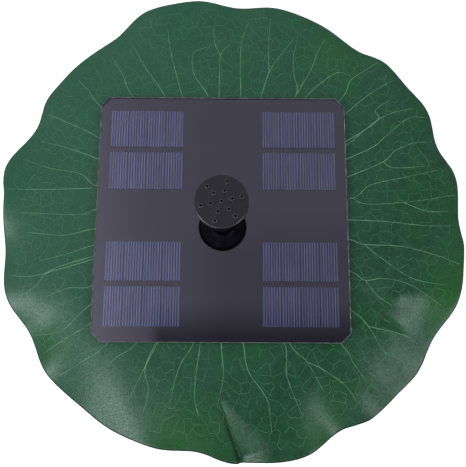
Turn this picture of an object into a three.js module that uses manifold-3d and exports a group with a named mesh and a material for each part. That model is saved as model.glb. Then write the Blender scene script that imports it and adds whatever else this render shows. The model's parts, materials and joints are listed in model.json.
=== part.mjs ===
// A solar floating fountain shaped like a lotus leaf.
//
// A square solar panel sits on a foam leaf. Below them a round housing holds a small brushless pump, which
// draws water through a strainer bowl and sends it up a central tube to a spray head.
//
// Units are millimetres and +Z is up. The origin is on the fountain's upright axis, at the flat underside of
// the strainer bowl, which is what it stands on. The pump's own axis lies along Y, with its inlet facing -Y.

import * as THREE from "three";
import { mergeVertices } from "three/addons/utils/BufferGeometryUtils.js";
import Module from "manifold-3d";

const wasm = await Module();
wasm.setup();

// ---------- driving dimensions ----------

const PANEL_SIDE = 150;
const PANEL_CORNER_CUT = 5.5;
const BOARD_THICKNESS = 1.6;
const COVER_THICKNESS = 1.4;
const GLUE_THICKNESS = 0.05;
const CELL_SIZE = { x: 45, y: 23.2, z: 0.3 };
const CELL_CENTRE_X = 46.4;
const CELL_CENTRES_Y = [27.8, 54.5];

const LEAF_THICKNESS = 2;
const LEAF_HOLE_RADIUS = 57.5;
const LEAF_FLAT_RADIUS = 96;
// The rim, going round from +X: [angle in degrees, radius, how far the rim rises above the flat middle].
const RIM = [
  [0, 143.5, -2],
  [10, 145.5, 1.5],
  [19, 141, -2],
  [29, 145.5, 2],
  [36, 144, 0],
  [44, 144.5, 1.5],
  [53, 140.5, -2.5],
  [64, 142.5, 0],
  [75, 143.5, 1.5],
  [86, 141, -2.5],
  [98, 145, 2],
  [109, 145, 2],
  [122, 137, -3],
  [144, 134, 1],
  [154, 129, -2],
  [168, 135.5, 3],
  [176, 132.5, 2],
  [187, 132, -4.5],
  [201, 137, -4],
  [211, 133.5, -9],
  [224, 138, -4.5],
  [232, 138, -9.5],
  [243, 139.5, -6.5],
  [254, 139, 0],
  [264, 136.5, -0.5],
  [274, 142.5, 0],
  [289, 146.5, -1],
  [299, 142.5, -9],
  [307, 146.5, -4],
  [315, 146.5, -9.5],
  [321, 147.5, -7.5],
  [330, 144.5, -7],
  [341, 149, -0.5],
  [352, 147, 0],
];
// How the waves grow from the flat middle to the rim: the power of the share of the way out.
const LEAF_WAVE_POWER = 1.6;
const LEAF_SPOKES = 120;
// The rings of the leaf's surface: radii in its flat middle, then shares of the way out to the rim.
const LEAF_FLAT_RINGS = [LEAF_HOLE_RADIUS, 77];
const LEAF_WAVE_RINGS = [0, 0.4, 0.72, 1];

const FLOAT_RADIUS = 88;
const FLOAT_THICKNESS = 18;
const FLOAT_BOTTOM = 25;

const WALL = 2;
const BOWL_RADIUS = 41.2;
const BOWL_HEIGHT = 29.5;
const FLANGE_RADIUS = 69;
const FLANGE_THICKNESS = 2;
const CLAMP_SCREW_RADIUS = 53;
const LUG_COUNT = 3;
const LUG_HALF_ANGLE = 4;
const DROP_PER_DEGREE = 0.2;

const TUBE_RADIUS = 6;
const TUBE_BORE = 4;
const TUBE_RISE = 7;

const PUMP_AXIS_Z = 20;
const CHAMBER_RADIUS = 12;
const CHAMBER_WALL_RADIUS = 16;
const CHAMBER_FRONT_Y = -5;
const CHAMBER_BACK_Y = 3.5;
const WELL_RADIUS = 6.9;
const WELL_WALL_RADIUS = 8;
const MOTOR_HALF = 13;
const MOTOR_BACK_Y = 30.6;
const SHAFT_RADIUS = 1.15;
const IMPELLER_VANES = 6;
const COVER_SCREW_X = 18.2;
const EAR = { x: 17.5, y: 14 };
const CABLE_RADIUS = 1.6;
const CABLE_RISE_Y = 36.6;
const CABLE_BEND = 3;

const HEAD_RADIUS = 15.4;
const HEAD_HEIGHT = 32.4;
const SPRAY_HOLE_RADIUS = 0.65;
const SPRAY_RINGS = [
  { radius: 0, count: 1 },
  { radius: 6.2, count: 6 },
  { radius: 11.6, count: 6 },
];
const SPRAY_TURN = 13;

// ---------- levels that follow from them ----------

const FLOAT_TOP = FLOAT_BOTTOM + FLOAT_THICKNESS;
const LEAF_TOP = FLOAT_TOP + LEAF_THICKNESS;
const BOARD_BOTTOM = LEAF_TOP + FLANGE_THICKNESS;
const BOARD_TOP = BOARD_BOTTOM + BOARD_THICKNESS;
const PANEL_TOP = BOARD_TOP + COVER_THICKNESS;
const SKIRT_BORE = BOWL_RADIUS + 0.3;
const SKIRT_RADIUS = SKIRT_BORE + 2.5;
const SKIRT_BOTTOM = 22;
const FLOAT_BORE = SKIRT_RADIUS + 1.2;
const ROOF_BOTTOM = 42;
const ROOF_TOP = ROOF_BOTTOM + WALL;
const TUBE_TOP = PANEL_TOP + TUBE_RISE;
const HEAD_TOP = PANEL_TOP + HEAD_HEIGHT;
const LUG = { inner: 40.5, outer: 43.4, bottom: 24.8, top: 27.2 };

// Facets round a circle, by the circle's size.
const FINE = 48;
const MEDIUM = 28;
const SMALL = 20;
const TINY = 10;

// ---------- solids ----------

const radians = (degrees) => (degrees * Math.PI) / 180;

/** A closed three.js geometry as a manifold-3d solid. */
function solid(geometry) {
  const loose = geometry.index ? geometry.toNonIndexed() : geometry;
  const bare = new THREE.BufferGeometry().setAttribute("position", loose.getAttribute("position"));
  const merged = mergeVertices(bare, 1e-4);
  const corners = merged.index.array;
  const triangles = [];
  for (let i = 0; i < corners.length; i += 3) {
    const [a, b, c] = [corners[i], corners[i + 1], corners[i + 2]];
    if (a !== b && b !== c && c !== a) triangles.push(a, b, c);
  }
  return new wasm.Manifold(
    new wasm.Mesh({
      numProp: 3,
      vertProperties: merged.getAttribute("position").array,
      triVerts: new Uint32Array(triangles),
    }),
  );
}

/** A manifold-3d solid as a three.js geometry with flat faces. */
function geometryOf(made) {
  const mesh = made.getMesh();
  const indexed = new THREE.BufferGeometry();
  indexed.setAttribute("position", new THREE.BufferAttribute(mesh.vertProperties, 3));
  indexed.setIndex(new THREE.BufferAttribute(mesh.triVerts, 1));
  const geometry = indexed.toNonIndexed();
  geometry.computeVertexNormals();
  return geometry;
}

const join = (first, ...others) => others.reduce((whole, next) => whole.add(next), first);
const cut = (first, ...others) => others.reduce((whole, next) => whole.subtract(next), first);

function box(x0, x1, y0, y1, z0, z1) {
  const geometry = new THREE.BoxGeometry(x1 - x0, y1 - y0, z1 - z0);
  return solid(geometry.translate((x0 + x1) / 2, (y0 + y1) / 2, (z0 + z1) / 2));
}

/** A solid of revolution about Z. The profile is [radius, z] pairs, closed on itself or on the axis. */
function revolve(profile, segments = MEDIUM) {
  const points = profile.map(([r, z]) => new THREE.Vector2(r, z));
  if (THREE.ShapeUtils.area(points) < 0) points.reverse();
  if (points[0].x > 0) points.push(points[0].clone());
  return solid(new THREE.LatheGeometry(points, segments).rotateX(Math.PI / 2));
}

const rod = (radius, z0, z1, segments = SMALL) =>
  revolve([[0, z0], [radius, z0], [radius, z1], [0, z1]], segments);

const tube = (outer, inner, z0, z1, segments = MEDIUM) =>
  revolve([[inner, z0], [outer, z0], [outer, z1], [inner, z1]], segments);

/** Turns a solid made about Z to lie about the pump's axis, so that its z runs along Y. */
function alongPump(made) {
  return made.rotate([-90, 0, 0]).translate([0, 0, PUMP_AXIS_Z]);
}

/** A flat outline in XY, extruded from z0 to z1. */
function extrude(shape, z0, z1, curveSegments = TINY) {
  const geometry = new THREE.ExtrudeGeometry(shape, { depth: z1 - z0, bevelEnabled: false, curveSegments });
  return solid(geometry.translate(0, 0, z0));
}

/** Part of a ring about Z between two angles in degrees. */
function sector(inner, outer, from, to, z0, z1) {
  const shape = new THREE.Shape();
  shape.absarc(0, 0, outer, radians(from), radians(to), false);
  shape.absarc(0, 0, inner, radians(to), radians(from), true);
  shape.closePath();
  return extrude(shape, z0, z1, 4);
}

/**
 * Part of a ring about Z whose floor and ceiling change with the angle. Each step is [degrees, floor, ceiling].
 */
function ramp(inner, outer, steps) {
  const positions = steps.flatMap(([degrees, floor, ceiling]) => {
    const [c, s] = [Math.cos(radians(degrees)), Math.sin(radians(degrees))];
    return [
      [inner * c, inner * s, floor],
      [outer * c, outer * s, floor],
      [outer * c, outer * s, ceiling],
      [inner * c, inner * s, ceiling],
    ].flat();
  });
  const index = [0, 1, 2, 0, 2, 3];
  for (let step = 0; step < steps.length - 1; step++) {
    for (let side = 0; side < 4; side++) {
      const [a, b] = [step * 4 + side, step * 4 + ((side + 1) % 4)];
      index.push(a, a + 4, b, b, a + 4, b + 4);
    }
  }
  const last = positions.length / 3 - 4;
  index.push(last, last + 2, last + 1, last, last + 3, last + 2);
  const geometry = new THREE.BufferGeometry();
  geometry.setAttribute("position", new THREE.Float32BufferAttribute(positions, 3));
  geometry.setIndex(index);
  return solid(geometry);
}

/** A square with its corners cut off, centred on the axis. */
function panelOutline(side, cornerCut) {
  const half = side / 2;
  const inset = half - cornerCut;
  const shape = new THREE.Shape();
  shape.moveTo(inset, -half);
  shape.lineTo(half, -inset);
  shape.lineTo(half, inset);
  shape.lineTo(inset, half);
  shape.lineTo(-inset, half);
  shape.lineTo(-half, inset);
  shape.lineTo(-half, -inset);
  shape.lineTo(-inset, -half);
  shape.closePath();
  return shape;
}

const around = (count, make, start = 0) =>
  Array.from({ length: count }, (_, i) => make(start + (i * 360) / count, i));

const turned = (made, degrees) => made.rotate([0, 0, degrees]);

// ---------- materials ----------

function material(color, roughness, metalness = 0) {
  return new THREE.MeshStandardMaterial({ color, roughness, metalness });
}

const leafFoam = () => material(0x3c6e50, 0.55);
const floatFoam = () => material(0x26292b, 0.85);
const blackPlastic = () => material(0x17181a, 0.45);
const boardBlack = () => material(0x2b2930, 0.35);
const clearResin = () =>
  new THREE.MeshStandardMaterial({ color: 0xc9c8d0, roughness: 0.08, transparent: true, opacity: 0.25 });
const silicon = () => material(0x3c3d70, 0.35, 0.2);
const steel = () => material(0xb9bbbe, 0.3, 1);
const copper = () => material(0xb4662f, 0.35, 1);
const laminations = () => material(0x7d8084, 0.45, 1);
const ferrite = () => material(0x2c2c2f, 0.5, 0.3);
const ceramic = () => material(0xe8e6df, 0.25);
const whitePlastic = () => material(0xd8dadb, 0.4);
const blackRubber = () => material(0x1a1a1a, 0.8);
const circuitGreen = () => material(0x1f5a34, 0.4);
const sponge = () => material(0x2e3033, 0.95);

const fountain = new THREE.Group();

function add(name, made, look) {
  const mesh = new THREE.Mesh(made.isBufferGeometry ? made : geometryOf(made), look());
  mesh.name = name;
  fountain.add(mesh);
  return mesh;
}

// ---------- lotus leaf ----------

/** The rim's radius and rise at an angle: each entry of RIM is a crest or a hollow, joined by half waves. */
function rimAt(degrees) {
  const next = RIM.findIndex(([angle]) => angle > degrees);
  const to = next < 0 ? [360, RIM[0][1], RIM[0][2]] : RIM[next];
  const from = RIM[(next < 0 ? RIM.length : next) - 1];
  const share = (1 - Math.cos((Math.PI * (degrees - from[0])) / (to[0] - from[0]))) / 2;
  return { radius: from[1] + (to[1] - from[1]) * share, rise: from[2] + (to[2] - from[2]) * share };
}

/** Where a ring of the leaf's top face crosses a spoke. */
function leafPoint(ring, spoke) {
  const degrees = (spoke * 360) / LEAF_SPOKES;
  const rim = rimAt(degrees);
  const flat = LEAF_FLAT_RINGS[ring];
  const share = flat ? 0 : LEAF_WAVE_RINGS[ring - LEAF_FLAT_RINGS.length];
  const radius = flat ?? LEAF_FLAT_RADIUS + (rim.radius - LEAF_FLAT_RADIUS) * share;
  const angle = radians(degrees);
  return [radius * Math.cos(angle), radius * Math.sin(angle), LEAF_TOP + rim.rise * share ** LEAF_WAVE_POWER];
}

/** A thin sheet with a round hole, flat in the middle, whose waves grow from LEAF_FLAT_RADIUS to the rim. */
function leafGeometry() {
  const rings = LEAF_FLAT_RINGS.length + LEAF_WAVE_RINGS.length;
  const positions = [];
  for (const drop of [0, LEAF_THICKNESS]) {
    for (let ring = 0; ring < rings; ring++) {
      for (let spoke = 0; spoke < LEAF_SPOKES; spoke++) {
        const [x, y, z] = leafPoint(ring, spoke);
        positions.push(x, y, z - drop);
      }
    }
  }
  const top = (ring, spoke) => ring * LEAF_SPOKES + (spoke % LEAF_SPOKES);
  const under = (ring, spoke) => rings * LEAF_SPOKES + top(ring, spoke);
  const index = [];
  const quad = (a, b, c, d) => index.push(a, b, c, a, c, d);
  const rim = rings - 1;
  for (let spoke = 0; spoke < LEAF_SPOKES; spoke++) {
    const next = spoke + 1;
    for (let ring = 0; ring < rim; ring++) {
      quad(top(ring, spoke), top(ring + 1, spoke), top(ring + 1, next), top(ring, next));
      quad(under(ring, next), under(ring + 1, next), under(ring + 1, spoke), under(ring, spoke));
    }
    quad(top(rim, spoke), under(rim, spoke), under(rim, next), top(rim, next));
    quad(top(0, next), under(0, next), under(0, spoke), top(0, spoke));
  }
  const geometry = new THREE.BufferGeometry();
  geometry.setAttribute("position", new THREE.Float32BufferAttribute(positions, 3));
  geometry.setIndex(index);
  geometry.computeVertexNormals();
  return geometry;
}

add("lotus_leaf", leafGeometry(), leafFoam);

// ---------- float ----------

const clampAngles = around(4, (angle) => angle, 45);
const polar = (radius, degrees) => [radius * Math.cos(radians(degrees)), radius * Math.sin(radians(degrees))];
const at = (made, x, y) => made.translate([x, y, 0]);
const BOSS_RADIUS = 3.5;
const BOSS_BOTTOM = 27;
const CLAMP_PLATE_THICKNESS = 2.5;
const CLAMP_PLATE_BOTTOM = FLOAT_BOTTOM - CLAMP_PLATE_THICKNESS;

function floatRing() {
  const edge = 3;
  const ring = revolve(
    [
      [FLOAT_BORE, FLOAT_BOTTOM],
      [FLOAT_RADIUS - edge, FLOAT_BOTTOM],
      [FLOAT_RADIUS, FLOAT_BOTTOM + edge],
      [FLOAT_RADIUS, FLOAT_TOP],
      [FLOAT_BORE, FLOAT_TOP],
    ],
    FINE,
  );
  const bossClearance = BOSS_RADIUS + 0.5;
  const holes = clampAngles.map((angle) =>
    at(rod(bossClearance, FLOAT_BOTTOM - 1, FLOAT_TOP + 1, TINY), ...polar(CLAMP_SCREW_RADIUS, angle)),
  );
  return cut(ring, ...holes);
}

add("float_ring", floatRing(), floatFoam);

function clampPlate() {
  const ring = tube(62, FLOAT_BORE + 0.8, CLAMP_PLATE_BOTTOM, FLOAT_BOTTOM, FINE);
  const holes = clampAngles.map((angle) =>
    at(rod(1.8, CLAMP_PLATE_BOTTOM - 1, FLOAT_BOTTOM + 1, TINY), ...polar(CLAMP_SCREW_RADIUS, angle)),
  );
  return cut(ring, ...holes);
}

add("clamp_plate", clampPlate(), blackPlastic);

/** A pan-head screw about Z, head down: its head is below headTop and its shank ends at tip. */
function screw(shankRadius, headRadius, headTop, headHeight, tip) {
  const body = join(
    revolve(
      [
        [0, headTop - headHeight],
        [headRadius * 0.7, headTop - headHeight],
        [headRadius, headTop - headHeight * 0.45],
        [headRadius, headTop],
        [0, headTop],
      ],
      TINY,
    ),
    rod(shankRadius, headTop - 0.1, tip, TINY),
  );
  const slot = headRadius * 0.62;
  const width = headRadius * 0.13;
  const depth = headTop - headHeight * 0.55;
  const low = headTop - headHeight - 1;
  return cut(body, box(-slot, slot, -width, width, low, depth), box(-width, width, -slot, slot, low, depth));
}

clampAngles.forEach((angle, i) => {
  const [x, y] = polar(CLAMP_SCREW_RADIUS, angle);
  add(`clamp_screw_${i + 1}`, screw(1.3, 3, CLAMP_PLATE_BOTTOM, 2, 40), steel).position.set(x, y, 0);
});

// ---------- housing ----------

const SOCKET = { outer: 8.8, inner: 6.7, bottom: 36.6 };

/**
 * The space a lug sweeps as the bowl turns and drops, from its seat until it is out of the skirt. The bowl comes
 * off anticlockwise as seen from below.
 */
function bayonetSlot(angle) {
  const play = 0.8;
  const headroom = 0.4;
  const halfWidth = LUG_HALF_ANGLE + play;
  const travel = (LUG.top + headroom - SKIRT_BOTTOM + 1) / DROP_PER_DEGREE;
  const dropAt = (turn) => DROP_PER_DEGREE * Math.min(Math.max(turn, 0), travel);
  const stops = [-halfWidth, 0, halfWidth];
  const turns = 6;
  for (let i = 1; i <= turns; i++) stops.push(halfWidth + (travel * i) / turns);
  const steps = stops.map((turn) => [
    angle - turn,
    LUG.bottom - headroom - dropAt(turn + halfWidth),
    LUG.top + headroom - dropAt(turn - halfWidth),
  ]);
  return ramp(SKIRT_BORE - 1, SKIRT_RADIUS + 0.7, steps.reverse());
}

function housing() {
  const flange = tube(FLANGE_RADIUS, SKIRT_BORE, LEAF_TOP, BOARD_BOTTOM, FINE);
  const skirt = tube(SKIRT_RADIUS, SKIRT_BORE, SKIRT_BOTTOM, BOARD_BOTTOM, FINE);
  const roof = rod(SKIRT_RADIUS - 0.5, ROOF_BOTTOM, ROOF_TOP, FINE);
  const centralTube = rod(TUBE_RADIUS, ROOF_BOTTOM, TUBE_TOP, MEDIUM);
  const socket = rod(SOCKET.outer, SOCKET.bottom, ROOF_BOTTOM + 0.5, MEDIUM);
  const clampBosses = clampAngles.map((angle) =>
    at(rod(BOSS_RADIUS, BOSS_BOTTOM, LEAF_TOP + 0.5, TINY), ...polar(CLAMP_SCREW_RADIUS, angle)),
  );
  const pumpBosses = [-EAR.x, EAR.x].map((x) => at(rod(3.2, 33.8, ROOF_BOTTOM + 0.5, TINY), x, EAR.y));
  const body = join(flange, skirt, roof, centralTube, socket, ...clampBosses, ...pumpBosses);

  const waterway = rod(TUBE_BORE, SOCKET.bottom - 1, TUBE_TOP + 1, MEDIUM);
  const socketBore = rod(SOCKET.inner, SOCKET.bottom - 1, ROOF_BOTTOM - 0.3, MEDIUM);
  const clampHoles = clampAngles.map((angle) =>
    at(rod(1.6, BOSS_BOTTOM - 1, 41, TINY), ...polar(CLAMP_SCREW_RADIUS, angle)),
  );
  const pumpHoles = [-EAR.x, EAR.x].map((x) => at(rod(1.5, 33, 41, TINY), x, EAR.y));
  const cableHole = at(rod(2.7, ROOF_BOTTOM - 1, ROOF_TOP + 1, TINY), 0, CABLE_RISE_Y);
  const bayonets = around(LUG_COUNT, bayonetSlot);
  return cut(body, waterway, socketBore, cableHole, ...clampHoles, ...pumpHoles, ...bayonets);
}

add("pump_housing", housing(), blackPlastic);

// ---------- solar panel ----------

const TUBE_HOLE = TUBE_RADIUS + 1.2;

function panelLayer(z0, z1, side = PANEL_SIDE) {
  return cut(
    extrude(panelOutline(side, PANEL_CORNER_CUT), z0, z1),
    rod(TUBE_HOLE, z0 - 1, z1 + 1, MEDIUM),
  );
}

const cellCentres = [1, -1].flatMap((up) =>
  [-1, 1].flatMap((across) => CELL_CENTRES_Y.map((y) => ({ x: across * CELL_CENTRE_X, y: up * y }))),
);

function cellBlock(centre, margin, height) {
  const halfX = CELL_SIZE.x / 2 + margin;
  const halfY = CELL_SIZE.y / 2 + margin;
  const block = box(-halfX, halfX, -halfY, halfY, BOARD_TOP, BOARD_TOP + height);
  return at(block, centre.x, centre.y);
}

function panelCover() {
  const pockets = cellCentres.map((centre) => cellBlock(centre, 0.2, CELL_SIZE.z + 0.2));
  return cut(panelLayer(BOARD_TOP + GLUE_THICKNESS, PANEL_TOP), ...pockets);
}

add("panel_board", panelLayer(BOARD_BOTTOM, BOARD_TOP), boardBlack);
add("panel_cover", panelCover(), clearResin);
cellCentres.forEach((centre, i) => add(`solar_cell_${i + 1}`, cellBlock(centre, 0, CELL_SIZE.z), silicon));

// A soft collar that closes the gap between the panel and the central tube.
add(
  "tube_collar",
  revolve(
    [
      [TUBE_RADIUS + 0.2, BOARD_BOTTOM + 0.3],
      [TUBE_HOLE - 0.2, BOARD_BOTTOM + 0.3],
      [TUBE_HOLE - 0.2, PANEL_TOP],
      [8.6, PANEL_TOP],
      [8.6, PANEL_TOP + 0.7],
      [8, PANEL_TOP + 1.2],
      [TUBE_RADIUS + 0.2, PANEL_TOP + 1.2],
    ],
    MEDIUM,
  ),
  blackRubber,
);

// The moulded box over the solder joints on the board's underside.
add("terminal_cover", box(-7, 7, 27, 39, BOARD_BOTTOM - 2, BOARD_BOTTOM), blackPlastic);

// ---------- power cable ----------

const CABLE_EXIT_Z = 27;
const CABLE_START_Y = 30.2;
const BACK_COVER = { front: MOTOR_BACK_Y + 0.1, back: MOTOR_BACK_Y + 1.7 };

function cable() {
  const path = new THREE.CurvePath();
  const start = new THREE.Vector3(0, CABLE_START_Y, CABLE_EXIT_Z);
  const bendStart = new THREE.Vector3(0, CABLE_RISE_Y - CABLE_BEND, CABLE_EXIT_Z);
  const corner = new THREE.Vector3(0, CABLE_RISE_Y, CABLE_EXIT_Z);
  const bendEnd = new THREE.Vector3(0, CABLE_RISE_Y, CABLE_EXIT_Z + CABLE_BEND);
  const end = new THREE.Vector3(0, CABLE_RISE_Y, BOARD_BOTTOM - 2.3);
  path.add(new THREE.LineCurve3(start, bendStart));
  path.add(new THREE.QuadraticBezierCurve3(bendStart, corner, bendEnd));
  path.add(new THREE.LineCurve3(bendEnd, end));
  const round = new THREE.Shape().absarc(0, 0, CABLE_RADIUS, 0, 2 * Math.PI, false);
  const options = { steps: 22, extrudePath: path, bevelEnabled: false, curveSegments: TINY / 2 };
  return new THREE.ExtrudeGeometry(round, options);
}

add("power_cable", solid(cable()), blackRubber);

/** A rubber grommet about Z: a neck that fills the hole in a plate, and a flange on the plate's top face. */
function grommet(neckRadius, flangeRadius, plateBottom, plateTop) {
  const bore = CABLE_RADIUS + 0.2;
  const lip = 1.1;
  const gap = 0.1;
  return revolve(
    [
      [bore, plateBottom + gap],
      [neckRadius, plateBottom + gap],
      [neckRadius, plateTop + gap],
      [flangeRadius, plateTop + gap],
      [flangeRadius - 0.4, plateTop + lip],
      [bore, plateTop + lip],
    ],
    TINY,
  );
}

const roofGrommet = grommet(2.5, 3.6, -ROOF_TOP, -ROOF_BOTTOM).rotate([180, 0, 0]);
const cableGrommet = alongPump(grommet(2.1, 3.3, BACK_COVER.front, BACK_COVER.back));
add("roof_grommet", at(roofGrommet, 0, CABLE_RISE_Y), blackRubber);
add("cable_grommet", cableGrommet.translate([0, 0, CABLE_EXIT_Z - PUMP_AXIS_Z]), blackRubber);

// ---------- pump body ----------

const NIPPLE = { outer: 5, inner: 3.6, top: 41 };
const WELL_END_Y = 15;
const BUSH_SEAT = { radius: 4.2, end: 17 };
const WELL_OUTER_END_Y = 18.2;
const SEAL = { ring: 13.8, section: 0.65, y: CHAMBER_FRONT_Y + 0.75 };

function pumpBody() {
  const chamber = alongPump(rod(CHAMBER_WALL_RADIUS, CHAMBER_FRONT_Y, 6, MEDIUM));
  const low = PUMP_AXIS_Z - MOTOR_HALF;
  const high = PUMP_AXIS_Z + MOTOR_HALF;
  const motorBox = box(-MOTOR_HALF, MOTOR_HALF, 5, MOTOR_BACK_Y, low, high);
  const nipple = rod(NIPPLE.outer, 34, NIPPLE.top, SMALL);
  const ears = [-1, 1].map((side) => {
    const [inner, outer] = [side * (MOTOR_HALF - 1), side * (EAR.x + 3.5)];
    return box(Math.min(inner, outer), Math.max(inner, outer), EAR.y - 3.5, EAR.y + 3.5, 31, 33.5);
  });
  const coverBosses = [-1, 1].map((side) =>
    join(
      alongPump(at(rod(2.8, CHAMBER_FRONT_Y, 5, TINY), side * COVER_SCREW_X, 0)),
      box(Math.min(side * 14, side * 18), Math.max(side * 14, side * 18), CHAMBER_FRONT_Y, 5, 18.4, 21.6),
    ),
  );
  const shell = join(chamber, motorBox, nipple, ...ears, ...coverBosses);

  const wall = 2;
  const pocket = cut(
    box(-MOTOR_HALF + wall, MOTOR_HALF - wall, 7, MOTOR_BACK_Y + 1, low + wall, high - wall),
    alongPump(rod(WELL_WALL_RADIUS, 5, WELL_OUTER_END_Y, MEDIUM)),
  );
  const chamberBore = alongPump(rod(CHAMBER_RADIUS, CHAMBER_FRONT_Y - 1, CHAMBER_BACK_Y, MEDIUM));
  const well = alongPump(rod(WELL_RADIUS, CHAMBER_BACK_Y - 1, WELL_END_Y, MEDIUM));
  const seat = alongPump(rod(BUSH_SEAT.radius, WELL_END_Y - 1, BUSH_SEAT.end, SMALL));
  const outlet = rod(NIPPLE.inner, PUMP_AXIS_Z + 8, NIPPLE.top + 1, SMALL);
  const groove = alongPump(tube(14.6, 13, CHAMBER_FRONT_Y - 1, CHAMBER_FRONT_Y + 1.6, MEDIUM));
  const earHoles = [-EAR.x, EAR.x].map((x) => at(rod(1.7, 30, 35, TINY), x, EAR.y));
  const screwHoles = [-COVER_SCREW_X, COVER_SCREW_X].map((x) =>
    alongPump(at(rod(1.3, CHAMBER_FRONT_Y - 1, 3, TINY), x, 0)),
  );
  return cut(shell, pocket, chamberBore, well, seat, outlet, groove, ...earHoles, ...screwHoles);
}

add("pump_body", pumpBody(), blackPlastic);
const outletSleeve = tube(SOCKET.inner - 0.2, NIPPLE.outer + 0.2, SOCKET.bottom + 0.2, 41, SMALL);
add("outlet_sleeve", outletSleeve, blackRubber);

[-EAR.x, EAR.x].forEach((x, i) => {
  add(`pump_screw_${i + 1}`, screw(1.2, 2.8, 31, 1.8, 40), steel).position.set(x, EAR.y, 0);
});

function backCover() {
  const plate = box(
    -MOTOR_HALF,
    MOTOR_HALF,
    BACK_COVER.front,
    BACK_COVER.back,
    PUMP_AXIS_Z - MOTOR_HALF,
    PUMP_AXIS_Z + MOTOR_HALF,
  );
  const hole = alongPump(rod(2.3, BACK_COVER.front - 1, BACK_COVER.back + 1, TINY));
  return cut(plate, hole.translate([0, 0, CABLE_EXIT_Z - PUMP_AXIS_Z]));
}

add("back_cover", backCover(), blackPlastic);

// ---------- stator ----------

const CORE = { low: PUMP_AXIS_Z - 6, high: PUMP_AXIS_Z + 6 };
const COIL = { front: 19.6, back: 25.2, inner: 4.5, outer: 7.7 };

/** A U of steel sheets: two poles beside the rotor well, stepped in behind it to carry the coils. */
function statorCore() {
  const pole = { inner: 8.4, outer: 10.8, front: 7.3 };
  const shoulder = { front: 18.4, back: 19.2 };
  const yoke = { front: 25.6, back: 28 };
  const right = [
    [COIL.inner, yoke.front],
    [COIL.inner, shoulder.front],
    [pole.inner, shoulder.front],
    [pole.inner, pole.front],
    [pole.outer, pole.front],
    [pole.outer, shoulder.back],
    [COIL.outer, shoulder.back],
    [COIL.outer, yoke.back],
  ];
  const left = right.map(([x, y]) => [-x, y]).reverse();
  const shape = new THREE.Shape([...right, ...left].map(([x, y]) => new THREE.Vector2(x, y)));
  return extrude(shape, CORE.low, CORE.high);
}

add("stator_core", statorCore(), laminations);

function coil(side) {
  const gap = 0.25;
  const build = 2.1;
  const [near, far] = [COIL.inner - gap, COIL.outer + gap];
  const [low, high] = [CORE.low - gap, CORE.high + gap];
  const block = box(near - build, far + build, COIL.front, COIL.back, low - build, high + build);
  const winding = cut(block, box(near, far, COIL.front - 1, COIL.back + 1, low, high));
  return side < 0 ? winding.rotate([0, 0, 180]).translate([0, COIL.front + COIL.back, 0]) : winding;
}

add("coil_left", coil(-1), copper);
add("coil_right", coil(1), copper);

function controlBoard() {
  const size = 10.5;
  const [front, back] = [28.4, 29.4];
  const board = box(-size, size, front, back, PUMP_AXIS_Z - size, PUMP_AXIS_Z + size);
  const driverChip = box(-8, -3, back - 0.1, back + 0.7, 12, 17);
  const regulator = box(2, 6, back - 0.1, back + 0.7, 13, 16);
  return join(board, driverChip, regulator);
}

add("control_board", controlBoard(), circuitGreen);

// ---------- rotor ----------

const MAGNET = { radius: 6.2, bore: 2.7, front: 4.4, back: 14.4 };
const IMPELLER = { radius: 9.5, discFront: 1.8, discBack: 3, vaneFront: -3, hubRadius: 3.2 };

add("rotor_magnet", alongPump(tube(MAGNET.radius, MAGNET.bore, MAGNET.front, MAGNET.back, SMALL)), ferrite);

function impeller() {
  const disc = rod(IMPELLER.radius, IMPELLER.discFront, IMPELLER.discBack, SMALL);
  const hub = rod(IMPELLER.hubRadius, IMPELLER.vaneFront, MAGNET.front - 0.2, SMALL);
  const sleeve = rod(MAGNET.bore - 0.2, MAGNET.front - 1, MAGNET.back, SMALL);
  const vanes = around(IMPELLER_VANES, (angle) =>
    turned(box(1.5, IMPELLER.radius - 0.2, -0.5, 0.5, IMPELLER.vaneFront, IMPELLER.discFront + 0.1), angle),
  );
  const bore = rod(SHAFT_RADIUS + 0.25, IMPELLER.vaneFront - 1, MAGNET.back + 1, SMALL);
  return alongPump(cut(join(disc, hub, sleeve, ...vanes), bore));
}

add("impeller", impeller(), whitePlastic);
add("pump_shaft", alongPump(rod(SHAFT_RADIUS, -6.6, 16.6, SMALL)), ceramic);
const rearBush = tube(BUSH_SEAT.radius - 0.2, SHAFT_RADIUS + 0.2, WELL_END_Y, BUSH_SEAT.end - 0.1, SMALL);
add("shaft_bush_rear", alongPump(rearBush), blackRubber);

// ---------- inlet cover ----------

const INLET = {
  front: CHAMBER_FRONT_Y - 2.6,
  back: CHAMBER_FRONT_Y - 0.1,
  bossRadius: 3.6,
  bushRadius: 2.3,
};
const INLET_HOLES = 6;

function inletCover() {
  const plate = rod(CHAMBER_WALL_RADIUS, INLET.front, INLET.back, MEDIUM);
  const spigot = rod(CHAMBER_RADIUS - 0.4, INLET.back - 0.5, CHAMBER_FRONT_Y + 0.7, MEDIUM);
  const ears = [-1, 1].map((side) => at(rod(2.8, INLET.front, INLET.back, TINY), side * COVER_SCREW_X, 0));
  const arms = box(-COVER_SCREW_X, COVER_SCREW_X, -1.6, 1.6, INLET.front, INLET.back);
  const inlets = around(
    INLET_HOLES,
    (angle) => sector(INLET.bossRadius, 7.6, angle - 22, angle + 22, INLET.front - 1, CHAMBER_FRONT_Y + 2),
    30,
  );
  const bushHole = rod(INLET.bushRadius, INLET.front + 1, CHAMBER_FRONT_Y + 2, SMALL);
  const screwHoles = [-COVER_SCREW_X, COVER_SCREW_X].map((x) =>
    at(rod(1.5, INLET.front - 1, INLET.back + 1, TINY), x, 0),
  );
  return alongPump(cut(join(plate, spigot, arms, ...ears), bushHole, ...inlets, ...screwHoles));
}

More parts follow.
